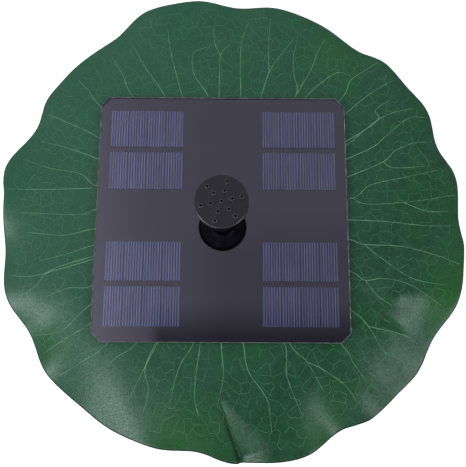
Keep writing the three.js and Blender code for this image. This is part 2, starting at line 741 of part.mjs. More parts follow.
add("inlet_cover", inletCover(), blackPlastic);
const frontBush = tube(
  INLET.bushRadius - 0.2,
  SHAFT_RADIUS + 0.2,
  INLET.front + 1.1,
  CHAMBER_FRONT_Y + 0.5,
  SMALL,
);
add("shaft_bush_front", alongPump(frontBush), blackRubber);

const sealRing = new THREE.TorusGeometry(SEAL.ring, SEAL.section, 6, MEDIUM);
add("cover_seal", alongPump(solid(sealRing)).translate([0, SEAL.y, 0]), blackRubber);

[-COVER_SCREW_X, COVER_SCREW_X].forEach((x, i) => {
  const made = alongPump(screw(1.1, 2.4, INLET.front, 1.6, 1.5));
  add(`cover_screw_${i + 1}`, made, steel).position.set(x, 0, 0);
});

// ---------- strainer bowl ----------

const SIDE_SLOTS = 24;
const FLOOR_SLOTS = 12;

function strainerBowl() {
  const foot = 1.2;
  const cup = revolve(
    [
      [0, 0],
      [BOWL_RADIUS - foot, 0],
      [BOWL_RADIUS, foot],
      [BOWL_RADIUS, BOWL_HEIGHT],
      [BOWL_RADIUS - WALL, BOWL_HEIGHT],
      [BOWL_RADIUS - WALL, WALL],
      [0, WALL],
    ],
    FINE,
  );
  const lugs = around(LUG_COUNT, (angle) =>
    sector(LUG.inner, LUG.outer, angle - LUG_HALF_ANGLE, angle + LUG_HALF_ANGLE, LUG.bottom, LUG.top),
  );
  const grips = around(
    6,
    (angle) => turned(box(BOWL_RADIUS - 1, BOWL_RADIUS + 2.4, -1.2, 1.2, 3, 20), angle),
    6,
  );
  const slotWidth = 1.3;
  const sideSlots = around(SIDE_SLOTS, (angle) =>
    turned(box(BOWL_RADIUS - WALL - 1, BOWL_RADIUS + 1, -slotWidth, slotWidth, 5, 18), angle),
  );
  const floorSlots = around(
    FLOOR_SLOTS,
    (angle) => turned(box(14, 33, -1.2, 1.2, -1, WALL + 1), angle),
    15,
  );
  return join(cut(cup, ...sideSlots, ...floorSlots), ...lugs, ...grips);
}

add("strainer_bowl", strainerBowl(), blackPlastic);
add("filter_sponge", tube(BOWL_RADIUS - WALL - 0.4, 35.5, WALL + 0.2, 19, MEDIUM), sponge);

// ---------- riser and spray head ----------

const RISER = { bottom: PANEL_TOP + 1.7, shoulder: TUBE_TOP + 0.4, top: 72.5, spigot: 5.8 };
const CAP = { thickness: 2, skirt: 0.8, wall: 1.4, edgeRadius: 0.8 };
const JET = { base: 1.45, top: 0.85, height: 0.4 };
const CAP_BOTTOM = HEAD_TOP - CAP.thickness - CAP.skirt;

const SOCKET_SEAL = { bottom: 66.4, top: 67.9, outer: 6.7 };

add(
  "riser_tube",
  revolve(
    [
      [TUBE_RADIUS + 0.2, RISER.bottom],
      [7.6, RISER.bottom],
      [7.6, RISER.shoulder + 1.6],
      [6.6, RISER.shoulder + 2.8],
      [6.6, 65.4],
      [RISER.spigot, 65.4],
      [RISER.spigot, RISER.top],
      [TUBE_BORE, RISER.top],
      [TUBE_BORE, RISER.shoulder],
      [TUBE_RADIUS + 0.2, RISER.shoulder],
    ],
    MEDIUM,
  ),
  blackPlastic,
);

function sprayBody() {
  const socket = RISER.spigot + 0.2;
  const neck = 7.6;
  const rim = HEAD_RADIUS - CAP.wall - 0.25;
  const skin = 1.3;
  return revolve(
    [
      [socket, 65.7],
      [neck + 0.4, 65.7],
      [neck + 0.4, 68.9],
      [neck, 69.3],
      [neck, 71.5],
      [neck + 2, 73.6],
      [rim, CAP_BOTTOM - 0.6],
      [rim, HEAD_TOP - CAP.thickness - 0.3],
      [rim - skin, HEAD_TOP - CAP.thickness - 0.3],
      [rim - skin, CAP_BOTTOM],
      [neck + 1.4, 74.9],
      [socket - 1.4, 73],
      [socket, 73],
      [socket, SOCKET_SEAL.top + 0.1],
      [SOCKET_SEAL.outer + 0.2, SOCKET_SEAL.top + 0.1],
      [SOCKET_SEAL.outer + 0.2, SOCKET_SEAL.bottom - 0.1],
      [socket, SOCKET_SEAL.bottom - 0.1],
    ],
    MEDIUM,
  );
}

add("spray_head_body", sprayBody(), blackPlastic);

// A rubber ring in a groove of the socket grips the riser.
const headSeal = tube(SOCKET_SEAL.outer, RISER.spigot + 0.05, SOCKET_SEAL.bottom, SOCKET_SEAL.top, MEDIUM);
add("head_seal", headSeal, blackRubber);

function sprayCap() {
  const roundedEdge = [0, 22.5, 45, 67.5, 90].map((angle) => [
    HEAD_RADIUS - CAP.edgeRadius * (1 - Math.sin(radians(angle))),
    HEAD_TOP - CAP.edgeRadius * (1 - Math.cos(radians(angle))),
  ]);
  const cap = revolve(
    [
      [0, HEAD_TOP],
      ...roundedEdge,
      [HEAD_RADIUS, CAP_BOTTOM],
      [HEAD_RADIUS - CAP.wall, CAP_BOTTOM],
      [HEAD_RADIUS - CAP.wall, HEAD_TOP - CAP.thickness],
      [0, HEAD_TOP - CAP.thickness],
    ],
    FINE,
  );
  const places = SPRAY_RINGS.flatMap(({ radius, count }) =>
    around(count, (angle) => polar(radius, angle), SPRAY_TURN),
  );
  const nipple = revolve(
    [
      [0, HEAD_TOP - 0.2],
      [JET.base, HEAD_TOP - 0.2],
      [JET.base, HEAD_TOP],
      [JET.top, HEAD_TOP + JET.height],
      [0, HEAD_TOP + JET.height],
    ],
    14,
  );
  const nipples = places.map(([x, y]) => at(nipple, x, y));
  const holes = places.map(([x, y]) => at(rod(SPRAY_HOLE_RADIUS, HEAD_TOP - 4, HEAD_TOP + 2, 8), x, y));
  return cut(join(cap, ...nipples), ...holes);
}

add("spray_cap", sprayCap(), blackPlastic);

export default fountain;
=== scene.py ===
"""Looks for the solar floating fountain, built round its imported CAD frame.

Everything is in metres, in the frame's own axes. The foam leaf is rebuilt here from the CAD leaf's outline,
with its folds, veins and rounded edge, and every other CAD node keeps its shape and gets a procedural
material.
"""

import json
import math
import random

import bpy
import numpy as np
from mathutils import Matrix, Vector
from mathutils.geometry import delaunay_2d_cdt


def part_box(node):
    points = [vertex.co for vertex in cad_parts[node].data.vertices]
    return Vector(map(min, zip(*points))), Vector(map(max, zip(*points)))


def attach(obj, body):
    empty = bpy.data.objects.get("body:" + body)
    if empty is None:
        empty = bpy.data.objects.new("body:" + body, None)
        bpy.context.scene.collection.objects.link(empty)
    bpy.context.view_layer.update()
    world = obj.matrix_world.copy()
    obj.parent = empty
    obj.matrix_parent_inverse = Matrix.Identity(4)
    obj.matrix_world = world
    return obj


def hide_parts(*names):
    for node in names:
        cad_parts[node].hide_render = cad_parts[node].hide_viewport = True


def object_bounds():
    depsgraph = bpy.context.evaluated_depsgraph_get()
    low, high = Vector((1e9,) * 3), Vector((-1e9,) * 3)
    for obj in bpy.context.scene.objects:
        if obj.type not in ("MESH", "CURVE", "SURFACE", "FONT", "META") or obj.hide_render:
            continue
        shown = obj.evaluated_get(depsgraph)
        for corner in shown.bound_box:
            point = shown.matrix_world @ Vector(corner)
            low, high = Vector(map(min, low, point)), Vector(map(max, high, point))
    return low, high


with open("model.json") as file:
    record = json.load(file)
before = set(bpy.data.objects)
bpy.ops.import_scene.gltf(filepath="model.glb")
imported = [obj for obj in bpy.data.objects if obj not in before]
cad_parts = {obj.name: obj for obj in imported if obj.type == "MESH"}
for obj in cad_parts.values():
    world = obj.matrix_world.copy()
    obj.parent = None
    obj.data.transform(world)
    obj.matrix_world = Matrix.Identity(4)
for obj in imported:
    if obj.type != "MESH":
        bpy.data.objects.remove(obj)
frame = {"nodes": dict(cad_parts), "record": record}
cad_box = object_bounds()

MM = 0.001
ROOT = "float_unit"
# The mesh attribute that is 1 on the leaf's rounded rim edge, where the leaf's material paints shade.
RIM_EDGE_ATTRIBUTE = "rim_edge"

# ---------- sizes ----------

PANEL_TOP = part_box("panel_cover")[1].z

LEAF_THICKNESS = 2 * MM
LEAF_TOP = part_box("float_ring")[1].z + LEAF_THICKNESS
LEAF_HOLE_RADIUS = 57.5 * MM
LEAF_FLAT_RADIUS = 96 * MM
LEAF_EDGE_ROUNDING = 0.9 * MM
# How the waves grow from the flat part to the rim: 1 would be a straight slope.
WAVE_POWER = 1.6
# The CAD leaf's rim is read at this many places, and its rise is averaged over each one's neighbours.
RIM_PLACES = 120
RIM_SMOOTHING = {-2: 0.09, -1: 0.24, 0: 0.34, 1: 0.24, 2: 0.09}
# The leaf's mesh: spokes round it, rings across it, steps round its edge.
LEAF_SPOKES, LEAF_RINGS, EDGE_STEPS = 720, 56, 6

# Small ripples of the sheet: direction in degrees, length in millimetres, phase, height.
RIPPLES = [(20, 31, 0.4, 0.22), (75, 38, 2.1, 0.2), (150, 27, 4.0, 0.15)]
# Blisters and dents: place, size, lift, in millimetres.
DENTS = [((102, -46), 13, 4.0), ((72, 96), 12, 0.8), ((-14, 118), 13, -1.2)]
# Sharp creases: where each starts and ends in plan, how far its steep and its gentle side reach at its end,
# and its height. It widens from its start. The gentle side is on the left going out.
FOLDS = [
    ((-2, -104), (9, -134), 1.6, 18, -4.6),
    ((86, -55), (97, -61), 4, 1.4, -1.2),
]
# Yellower places near the rim: x, y and radius in millimetres.
YELLOW_PATCHES = [
    (-22, -130, 36),
    (142, -36, 30),
    (132, -58, 24),
    (-108, -79, 26),
    (68, 106, 22),
    (58, -122, 20),
]

# Veins and the net between them, in millimetres. Main veins start under the panel, at VEIN_START.
VEIN_START = 62
VEIN_WIDTH, FORK_WIDTH, VEIN_TIP_WIDTH, VEIN_HEIGHT = 0.78, 0.6, 0.3, 0.15
VEIN_NUDGE, NET_NUDGE = 0.4, 0.5
# A vein is a fork when it starts within this many degrees and millimetres of a place on an earlier one.
FORK_DEGREES, FORK_RADIUS = 1, 2
NET_SPACING, NET_WANDER, NET_HEIGHT = 6.8, 2.9, 0.07
NET_WIDTHS = (0.22, 0.44)
# The net's cells are seeded between these radii, and it ends this far inside the rim.
NET_FROM, NET_TO, NET_MARGIN = 52.0, 165, 5
# Shares of the spacing: how far a seed may be turned from its even place, and the step between rings.
NET_TURN, NET_RING_STEP = 0.4, 0.88
# The share of the net's strands that is left out, and the lengths that the others may have.
NET_GAPS = 0.22
NET_SHORTEST, NET_LONGEST = 1.2, 12
# How far a strand's foot is sunk into the leaf.
STRAND_SUNK = 0.06 * MM

# Each cell's fingers: strips of cell side by side, and the fingers on each.
STRIPS, FINGERS = 4, 7
FINGER_PITCH, FINGER_WIDTH, FINGER_THICKNESS = 1.56 * MM, 0.72 * MM, 0.05 * MM
# A box's faces, for its lower four corners and then its upper four.
BOX_FACES = [(0, 3, 2, 1), (4, 5, 6, 7), (0, 1, 5, 4), (1, 2, 6, 5), (2, 3, 7, 6), (3, 0, 4, 7)]

# The radius of each visible moulded edge, in millimetres.
EDGE_RADIUS = {
    "panel_cover": 0.45,
    "panel_board": 0.25,
    "spray_cap": 0.3,
    "spray_head_body": 0.25,
    "riser_tube": 0.3,
    "tube_collar": 0.3,
    "pump_housing": 0.25,
    "strainer_bowl": 0.25,
    "clamp_plate": 0.4,
    "float_ring": 0.8,
    "terminal_cover": 0.4,
}
# Edges sharper than this are bevelled, and edges sharper than the second are shaded sharp.
BEVEL_ANGLE, SHARP_ANGLE = math.radians(40), math.radians(35)
# Corners of the CAD's triangles closer than this are one.
WELD_DISTANCE = 0.002 * MM

# ---------- looks, light and camera ----------

LEAF_GREEN = (0.0060, 0.051, 0.0210)
LEAF_YELLOWER = (0.0048, 0.057, 0.0120)
LEAF_DARK = (0.0010, 0.017, 0.005)
LEAF_PALE = (0.017, 0.098, 0.053)
LEAF_OLIVE = (0.0110, 0.085, 0.0060)
# Painted shade: near-black colour for the leaf's rim edge, standing for the shade on the sheet's side.
LEAF_RIM_PAINTED_SHADE = (0.0015, 0.004, 0.002)
LEAF_UNDERSIDE = (0.012, 0.045, 0.022)
VEIN_TINT = (0.13, 0.29, 0.14)
NET_TINT = (0.055, 0.165, 0.08)
# Set high, so that one surface mirrors as much as a real resin sheet's two faces.
RESIN_IOR = 1.80
RESIN_TINT = (0.88, 0.85, 1.0, 1)
# Where the cover's outer faces begin, in millimetres from its middle: along x or y at its sides, and x + y
# at its cut corners. Each is a short fade.
COVER_SIDES, COVER_CORNERS = (73.6, 74.0), (143.0, 143.4)

WORLD_TINT = (0.97, 0.95, 1.08, 1)
LIGHT_TINT = (0.84, 1.0, 0.98)
LIGHT_DISTANCE = 1.5
# Soft lights: name, azimuth round from +X and elevation in degrees, width, radiance.
LIGHTS = [("left_softbox", 208, 48, 0.48, 12.0), ("right_softbox", 330, 45, 0.45, 9.0)]
FLOOR_REACH, FLOOR_GAP = 6.0, 0.2 * MM
CAMERA_LENS, CAMERA_SENSOR = 51.73, 36
CAMERA_PLACE = Vector((0.00473, -0.09531, PANEL_TOP + 0.3888))
# The camera's turns in degrees, from looking straight down.
CAMERA_TURN, CAMERA_TILT, CAMERA_LEAN = 0.371, 12.21, -0.35

# The leaf's printed veins, each as places along it: angle round from +X in degrees, radius in millimetres.
# A vein whose first place lies on an earlier one is a fork of it. The places were picked on the photograph,
# and a separate program turned them into angles and radii through the fitted camera. Some were then
# changed, left out or added.
VEINS = [
    [(9, 78), (10, 84), (13, 93), (13, 115), (13, 136)],
    [(9, 80), (6, 88), (5, 111), (6, 143)],
    [(5, 111), (2, 124), (2, 137)],
    [(19, 80), (20, 105), (22, 115), (22, 128), (21, 136)],
    [(20, 105), (17, 110), (15, 129)],
    [(26, 87), (26, 104), (27, 112), (29, 132), (27, 142)],
    [(31, 89), (33, 118), (31, 138)],
    [(33, 112), (36, 118), (36, 130)],
    [(41, 102), (41, 123), (40, 139)],
    [(46, 106), (48, 120), (47, 131), (46, 141)],
    [(56, 94), (53, 117), (49, 123)],
    [(60, 92), (64, 103), (67, 115), (68, 128)],
    [(60, 92), (60, 111), (61, 125), (61, 135)],
    [(73, 82), (73, 99), (71, 113), (69, 126)],
    [(73, 99), (76, 117), (77, 135)],
    [(82, 80), (84, 101), (84, 117), (83, 130)],
    [(92, 79), (91, 106), (88, 114)],
    [(91, 106), (93, 115), (93, 128)],
    [(97, 79), (101, 94), (100, 109), (95, 113)],
    [(108, 85), (107, 114), (106, 129)],
    [(115, 87), (117, 110), (117, 125)],
    [(126, 98), (125, 111), (124, 127)],
    [(137, 105), (136, 118), (136, 128)],
    [(147, 94), (148, 112), (149, 127)],
    [(155, 87), (156, 108), (157, 122)],
    [(166, 80), (163, 91), (164, 110), (164, 125)],
    [(167, 79), (171, 105), (173, 131)],
    [(177, 77), (179, 86), (179, 121)],
    [(186, 79), (187, 96), (185, 118)],
    [(193, 81), (194, 95), (194, 112)],
    [(199, 88), (198, 117), (196, 131)],
    [(198, 104), (201, 118), (202, 128)],
    [(209, 88), (206, 100), (205, 116)],
    [(215, 94), (216, 115), (213, 130)],
    [(220, 100), (219, 116), (218, 133)],
    [(229, 101), (227, 117), (225, 134)],
    [(237, 91), (234, 105), (233, 122)],
    [(244, 85), (244, 100), (244, 118)],
    [(244, 97), (248, 110), (249, 124)],
    [(258, 78), (255, 92), (255, 113)],
    [(261, 77), (262, 104), (264, 117)],
    [(270, 77), (271, 94), (269, 112)],
    [(280, 77), (280, 92), (283, 105), (284, 113), (283, 128)],
    [(296, 85), (292, 102), (292, 126)],
    [(298, 88), (300, 99), (300, 117)],
    [(300, 99), (303, 107), (306, 122), (306, 134)],
    [(313, 105), (312, 114), (311, 126)],
    [(324, 95), (323, 108), (320, 123), (321, 132)],
    [(323, 108), (327, 128), (327, 138)],
    [(337, 85), (336, 93), (339, 103), (340, 119), (338, 141)],
    [(336, 93), (333, 103), (332, 113)],
    [(350, 78), (349, 87), (351, 109), (350, 130), (349, 145)],
    [(349, 87), (345, 100), (342, 118), (343, 140)],
    [(359, 76), (359, 100), (358, 120), (358, 138)],
]


# ---------- material nodes ----------


class Graph:
    """Short ways to add nodes to a shader tree, which starts empty."""

    def __init__(self, tree):
        self.tree = tree
        self.tree.nodes.clear()

    def node(self, kind, settings=None, **inputs):
        made = self.tree.nodes.new(kind)
        for key, value in (settings or {}).items():
            setattr(made, key, value)
        for key, value in inputs.items():
            self.feed(made.inputs[key.replace("_", " ")], value)
        return made

    def feed(self, socket, value):
        if isinstance(value, bpy.types.NodeSocket):
            self.tree.links.new(value, socket)
        else:
            socket.default_value = value

    def vector(self, operation, a, b=None, scale=None):
        made = self.tree.nodes.new("ShaderNodeVectorMath")
        made.operation = operation
        self.feed(made.inputs[0], a)
        if b is not None:
            self.feed(made.inputs[1], b)
        if scale is not None:
            made.inputs["Scale"].default_value = scale
        return made.outputs["Value" if operation == "LENGTH" else "Vector"]

    def math(self, operation, a, b=0.0):
        made = self.tree.nodes.new("ShaderNodeMath")
        made.operation = operation
        self.feed(made.inputs[0], a)
        self.feed(made.inputs[1], b)
        return made.outputs[0]

    def span(self, value, low, high, to_low=0.0, to_high=1.0):
        """Maps low..high to to_low..to_high and clamps outside it."""
        made = self.node("ShaderNodeMapRange", {"clamp": True})
        for socket, given in zip(made.inputs, (value, low, high, to_low, to_high)):
            self.feed(socket, given)
        return made.outputs[0]

    def axes(self, value):
        return self.node("ShaderNodeSeparateXYZ", Vector=value).outputs


class Material(Graph):
    """One material's node tree. Its textures are in object coordinates, counted in millimetres."""

    def __init__(self, name):
        self.material = bpy.data.materials.new(name)
        self.material.use_nodes = True
        super().__init__(self.material.node_tree)
        self.output = self.tree.nodes.new("ShaderNodeOutputMaterial")
        place = self.tree.nodes.new("ShaderNodeTexCoord")
        self.place = self.vector("SCALE", place.outputs["Object"], scale=1 / MM)

    def noise(self, size, detail=2.0, roughness=0.5, distortion=0.0, at=None):
        """Smooth noise from 0 to 1 whose blotches are about size millimetres across."""
        made = self.node("ShaderNodeTexNoise", Detail=detail, Roughness=roughness, Distortion=distortion)
        self.feed(made.inputs["Vector"], at or self.place)
        made.inputs["Scale"].default_value = 1 / size
        return made.outputs["Fac"]

    def voronoi(self, size, feature="F1", randomness=1.0):
        made = self.node("ShaderNodeTexVoronoi", {"feature": feature}, Randomness=randomness)
        self.feed(made.inputs["Vector"], self.place)
        made.inputs["Scale"].default_value = 1 / size
        return made.outputs["Distance"]

    def mix(self, share, a, b):
        made = self.tree.nodes.new("ShaderNodeMix")
        made.data_type = "RGBA"
        self.feed(made.inputs[0], share)
        self.feed(made.inputs[6], colour(a))
        self.feed(made.inputs[7], colour(b))
        return made.outputs[2]

    def blend(self, share, a, b):
        """Shader a where share is 0, shader b where it is 1."""
        made = self.node("ShaderNodeMixShader", Fac=share)
        self.feed(made.inputs[1], a)
        self.feed(made.inputs[2], b)
        return made.outputs[0]

    def bump(self, height, depth, under=None):
        """A bump of so many millimetres where height goes from 0 to 1."""
        made = self.node("ShaderNodeBump", Strength=1.0, Distance=depth * MM, Height=height)
        if under is not None:
            self.feed(made.inputs["Normal"], under)
        return made.outputs[0]

    def surface(self, shader):
        self.tree.links.new(shader, self.output.inputs["Surface"])
        return self.material

    def principled(self, **inputs):
        if "Base_Color" in inputs:
            inputs["Base_Color"] = colour(inputs["Base_Color"])
        return self.surface(self.node("ShaderNodeBsdfPrincipled", **inputs).outputs[0])


def colour(value):
    return (*value, 1.0) if isinstance(value, tuple) and len(value) == 3 else value


# ---------- leaf surface ----------


class Leaf:
    """The leaf's top face as a height over angle and radius, from the CAD leaf's rim."""

    def __init__(self, node):
        points = np.array([v.co for v in node.data.vertices], float)
        angle = np.degrees(np.arctan2(points[:, 1], points[:, 0])) % 360
        radius = np.hypot(points[:, 0], points[:, 1])
        slot = np.round(angle * RIM_PLACES / 360).astype(int) % RIM_PLACES
        self.rim_radius = np.array([radius[slot == s].max() for s in range(RIM_PLACES)])
        rise = []
        for s in range(RIM_PLACES):
            here = (slot == s) & (radius > self.rim_radius[s] - MM / 2)
            rise.append(points[here, 2].max() - LEAF_TOP)
        self.rim_rise = sum(share * np.roll(rise, step) for step, share in RIM_SMOOTHING.items())

    @staticmethod
    def periodic(samples, degrees):
        """Smooth interpolation of evenly spaced samples round the circle."""
        count = len(samples)
        place = (np.asarray(degrees) % 360) * count / 360
        low = np.floor(place).astype(int)
        t = place - low
        a, b, c, d = (samples[(low + k) % count] for k in (-1, 0, 1, 2))
        return b + 0.5 * t * (c - a + t * (2 * a - 5 * b + 4 * c - d + t * (3 * (b - c) + d - a)))

    def radius(self, degrees):
        return self.periodic(self.rim_radius, degrees)

    def height(self, degrees, radius):
        degrees, radius = np.broadcast_arrays(np.asarray(degrees, float), np.asarray(radius, float))
        rim = self.radius(degrees)
        share = np.clip((radius - LEAF_FLAT_RADIUS) / (rim - LEAF_FLAT_RADIUS), 0, 1.1)
        wave = self.periodic(self.rim_rise, degrees) * share**WAVE_POWER
        return LEAF_TOP + wave + self.folds(degrees, radius, share)

    def folds(self, degrees, radius, share):
        """Small ripples, blisters and dents, and the sharp creases."""
        x = radius * np.cos(np.radians(degrees)) / MM
        y = radius * np.sin(np.radians(degrees)) / MM
        lift = np.zeros_like(x)
        for direction, length, phase, height in RIPPLES:
            along = x * math.cos(math.radians(direction)) + y * math.sin(math.radians(direction))
            lift += height * share * np.sin(2 * math.pi * along / length + phase)
        for (at_x, at_y), size, height in DENTS:
            lift += height * np.exp(-((x - at_x) ** 2 + (y - at_y) ** 2) / size**2)
        for (from_x, from_y), (to_x, to_y), steep, gentle, height in FOLDS:
            length = math.hypot(to_x - from_x, to_y - from_y)
            ux, uy = (to_x - from_x) / length, (to_y - from_y) / length
            along = (x - from_x) * ux + (y - from_y) * uy
            across = (y - from_y) * ux - (x - from_x) * uy
            # reach grows from 0 at the crease's start to 1 at its end, and fades out past it.
            reach = np.clip(along / length, 0, 1.2) * np.clip(2.2 - along / length, 0, 1)
            wide = np.maximum(reach, 0.001)
            edge = steep * np.minimum(3 * wide, 1)
            side = np.where(across < 0, 1 + across / edge, 1 - across / (gentle * wide))
            lift += height * reach * np.clip(side, 0, 1) ** 1.4
        return lift * MM


leaf = Leaf(frame["nodes"]["lotus_leaf"])


def polar_points(degrees, radius, z):
    angle = np.radians(degrees)
    return np.stack([radius * np.cos(angle), radius * np.sin(angle), z], axis=-1)


def mesh_object(name, vertices, faces, material, smooth=True):
    """A new piece with this mesh, riding on the float unit."""
    mesh = bpy.data.meshes.new(name)
    mesh.from_pydata([tuple(map(float, v)) for v in vertices], [], faces)
    mesh.update()
    if smooth:
        mesh.polygons.foreach_set("use_smooth", [True] * len(mesh.polygons))
    piece = bpy.data.objects.new(name, mesh)
    bpy.context.scene.collection.objects.link(piece)
    mesh.materials.append(material)
    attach(piece, ROOT)
    return piece


def wrapped_grid(rows, columns):
    """Quads of a grid of rows by columns that closes on itself both ways."""
    faces = []
    for i in range(rows):
        for j in range(columns):
            a, b = i * columns + j, i * columns + (j + 1) % columns
            c, d = ((i + 1) % rows) * columns + (j + 1) % columns, ((i + 1) % rows) * columns + j
            faces.append((a, b, c, d))
    return faces


def leaf_mesh():
    """The closed foam sheet, and for each vertex 1 on the rounded rim and 0 elsewhere."""
    degrees = np.arange(LEAF_SPOKES) * 360 / LEAF_SPOKES
    half = LEAF_THICKNESS / 2
    edge = leaf.radius(degrees) - LEAF_EDGE_ROUNDING
    shares = np.linspace(0, 1, LEAF_RINGS) ** 0.8
    rings = [LEAF_HOLE_RADIUS + (edge - LEAF_HOLE_RADIUS) * share for share in shares]
    stations = [polar_points(degrees, radius, leaf.height(degrees, radius)) for radius in rings]
    for k in range(1, EDGE_STEPS):
        turn = math.pi * k / EDGE_STEPS
        radius = edge + LEAF_EDGE_ROUNDING * math.sin(turn)
        z = leaf.height(degrees, edge) - half + half * math.cos(turn)
        stations.append(polar_points(degrees, radius, z))
    for radius in rings[::-1][::2]:
        stations.append(polar_points(degrees, radius, leaf.height(degrees, radius) - LEAF_THICKNESS))
    on_rim = np.zeros((len(stations), LEAF_SPOKES))
    on_rim[LEAF_RINGS : LEAF_RINGS + EDGE_STEPS - 1] = 1
    return np.concatenate(stations), wrapped_grid(len(stations), LEAF_SPOKES), on_rim.ravel()


def ribbon(points, widths, heights):
    """A closed three-sided strand lying along points, which are on the leaf's surface."""
    points = np.asarray(points)
    along = np.gradient(points, axis=0)
    side = np.stack([-along[:, 1], along[:, 0], np.zeros(len(points))], axis=1)
    side /= np.maximum(np.linalg.norm(side, axis=1, keepdims=True), 1e-12)
    up = np.array([0, 0, 1.0])
    half = np.asarray(widths)[:, None] / 2
    left = points + side * half - up * STRAND_SUNK
    right = points - side * half - up * STRAND_SUNK
    crest = points + up * np.asarray(heights)[:, None]
    vertices = np.stack([left, crest, right], axis=1).reshape(-1, 3)
    faces = []
    last = len(points) - 1
    for i in range(last):
        for k in range(3):
            a, b = 3 * i + k, 3 * i + (k + 1) % 3
            faces.append((a, a + 3, b + 3, b))
    faces.append((0, 1, 2))
    faces.append((3 * last + 2, 3 * last + 1, 3 * last))
    return vertices, faces


def on_leaf(points):
    """Plan points in metres laid on the leaf's top face."""
    points = np.asarray(points)
    degrees = np.degrees(np.arctan2(points[:, 1], points[:, 0]))
    radius = np.hypot(points[:, 0], points[:, 1])
    return np.column_stack([points, leaf.height(degrees, radius)])


def smooth_path(points, steps):
    """A smooth curve through plan points, as evenly many points per stretch."""
    points = np.asarray(points, float)
    padded = np.vstack([2 * points[0] - points[1], points, 2 * points[-1] - points[-2]])
    made = []
    for i in range(1, len(padded) - 2):
        a, b, c, d = padded[i - 1 : i + 3]
        for t in np.linspace(0, 1, steps, endpoint=False):
            made.append(b + 0.5 * t * (c - a + t * (2 * a - 5 * b + 4 * c - d + t * (3 * (b - c) + d - a))))
    made.append(points[-1])
    return np.array(made)


def plan_point(degrees, radius):
    return np.array([radius * math.cos(math.radians(degrees)), radius * math.sin(math.radians(degrees))])


def nudge(draw, reach):
    """A small random step in plan."""
    return np.array([draw.uniform(-reach, reach), draw.uniform(-reach, reach)])


def vein_strands():
    """Strands for the main veins and forks: plan points, width at root, width at tip, height."""
    draw = random.Random(7)
    started = set()
    strands = []
    for places in VEINS:
        root = places[0]
        fork = any(abs(root[0] - a) <= FORK_DEGREES and abs(root[1] - r) <= FORK_RADIUS for a, r in started)
        started.update(places)
        if not fork:
            places = [(root[0], VEIN_START)] + places
        points = [plan_point(*place) for place in places]
        nudged = [p + nudge(draw, VEIN_NUDGE) for p in points[1:]]
        path = smooth_path(np.array([points[0]] + nudged) * MM, 9)
        width = FORK_WIDTH if fork else VEIN_WIDTH
        strands.append((path, width, VEIN_TIP_WIDTH, VEIN_HEIGHT))
    return strands


def net_seeds(draw):
    """Points in uneven rings over the leaf, one for each cell of the net."""
    seeds = []
    radius = NET_FROM
    while radius < NET_TO:
        count = int(2 * math.pi * radius / NET_SPACING)
        for k in range(count):
            angle = 360 * (k + draw.uniform(-NET_TURN, NET_TURN)) / count
            seeds.append(Vector(plan_point(angle, radius + draw.uniform(-NET_WANDER, NET_WANDER))))
        radius += NET_SPACING * NET_RING_STEP
    return seeds


def net_borders(seeds):
    """The borders between the cells round the seeds, each as its two ends."""
    corners, _, triangles, *_ = delaunay_2d_cdt(seeds, [], [], 0, 1e-6)
    centres = [circle_centre(*(corners[i] for i in t)) for t in triangles]
    sides = {}
    for index, t in enumerate(triangles):
        for a, b in ((t[0], t[1]), (t[1], t[2]), (t[2], t[0])):
            sides.setdefault((min(a, b), max(a, b)), []).append(index)
    pairs = [sides[key] for key in sorted(sides) if len(sides[key]) == 2]
    return [[np.array(centres[i]) for i in pair] for pair in pairs]


def net_strands():
    """The fine net between the veins, with some of its borders missing."""
    draw = random.Random(23)
    strands = []
    for start, end in net_borders(net_seeds(draw)):
        if draw.random() < NET_GAPS:
            continue
        length = np.linalg.norm(end - start)
        if not NET_SHORTEST < length < NET_LONGEST or not inside_leaf(start) or not inside_leaf(end):
            continue
        middle = (start + end) / 2 + nudge(draw, NET_NUDGE)
        width = draw.uniform(*NET_WIDTHS)
        path = smooth_path(np.array([start, middle, end]) * MM, 3)
        strands.append((path, width, width, NET_HEIGHT))
    return strands


def circle_centre(a, b, c):
    """Centre of the circle through three plan points."""
    d = 2 * (a.x * (b.y - c.y) + b.x * (c.y - a.y) + c.x * (a.y - b.y))
    sa, sb, sc = a.length_squared, b.length_squared, c.length_squared
    x = (sa * (b.y - c.y) + sb * (c.y - a.y) + sc * (a.y - b.y)) / d
    y = (sa * (c.x - b.x) + sb * (a.x - c.x) + sc * (b.x - a.x)) / d
    return (x, y)


def inside_leaf(point):
    """True for a plan point in millimetres that is on the open part of the leaf."""
    radius = math.hypot(*point)
    rim = float(leaf.radius(math.degrees(math.atan2(point[1], point[0])))) / MM
    return VEIN_START < radius < rim - NET_MARGIN


def strand_mesh(strands):
    """One mesh of all the strands, laid on the leaf."""
    vertices, faces = [], []
    for path, root_width, tip_width, height in strands:
        laid = on_leaf(path)
        share = np.linspace(0, 1, len(laid))
        widths = (root_width + (tip_width - root_width) * share) * MM
        heights = height * MM * (1 - 0.5 * share)
        made, strips = ribbon(laid, widths, heights)
        base = len(vertices)
        vertices.extend(made)
        faces.extend(tuple(base + i for i in strip) for strip in strips)
    return vertices, faces


# ---------- materials ----------


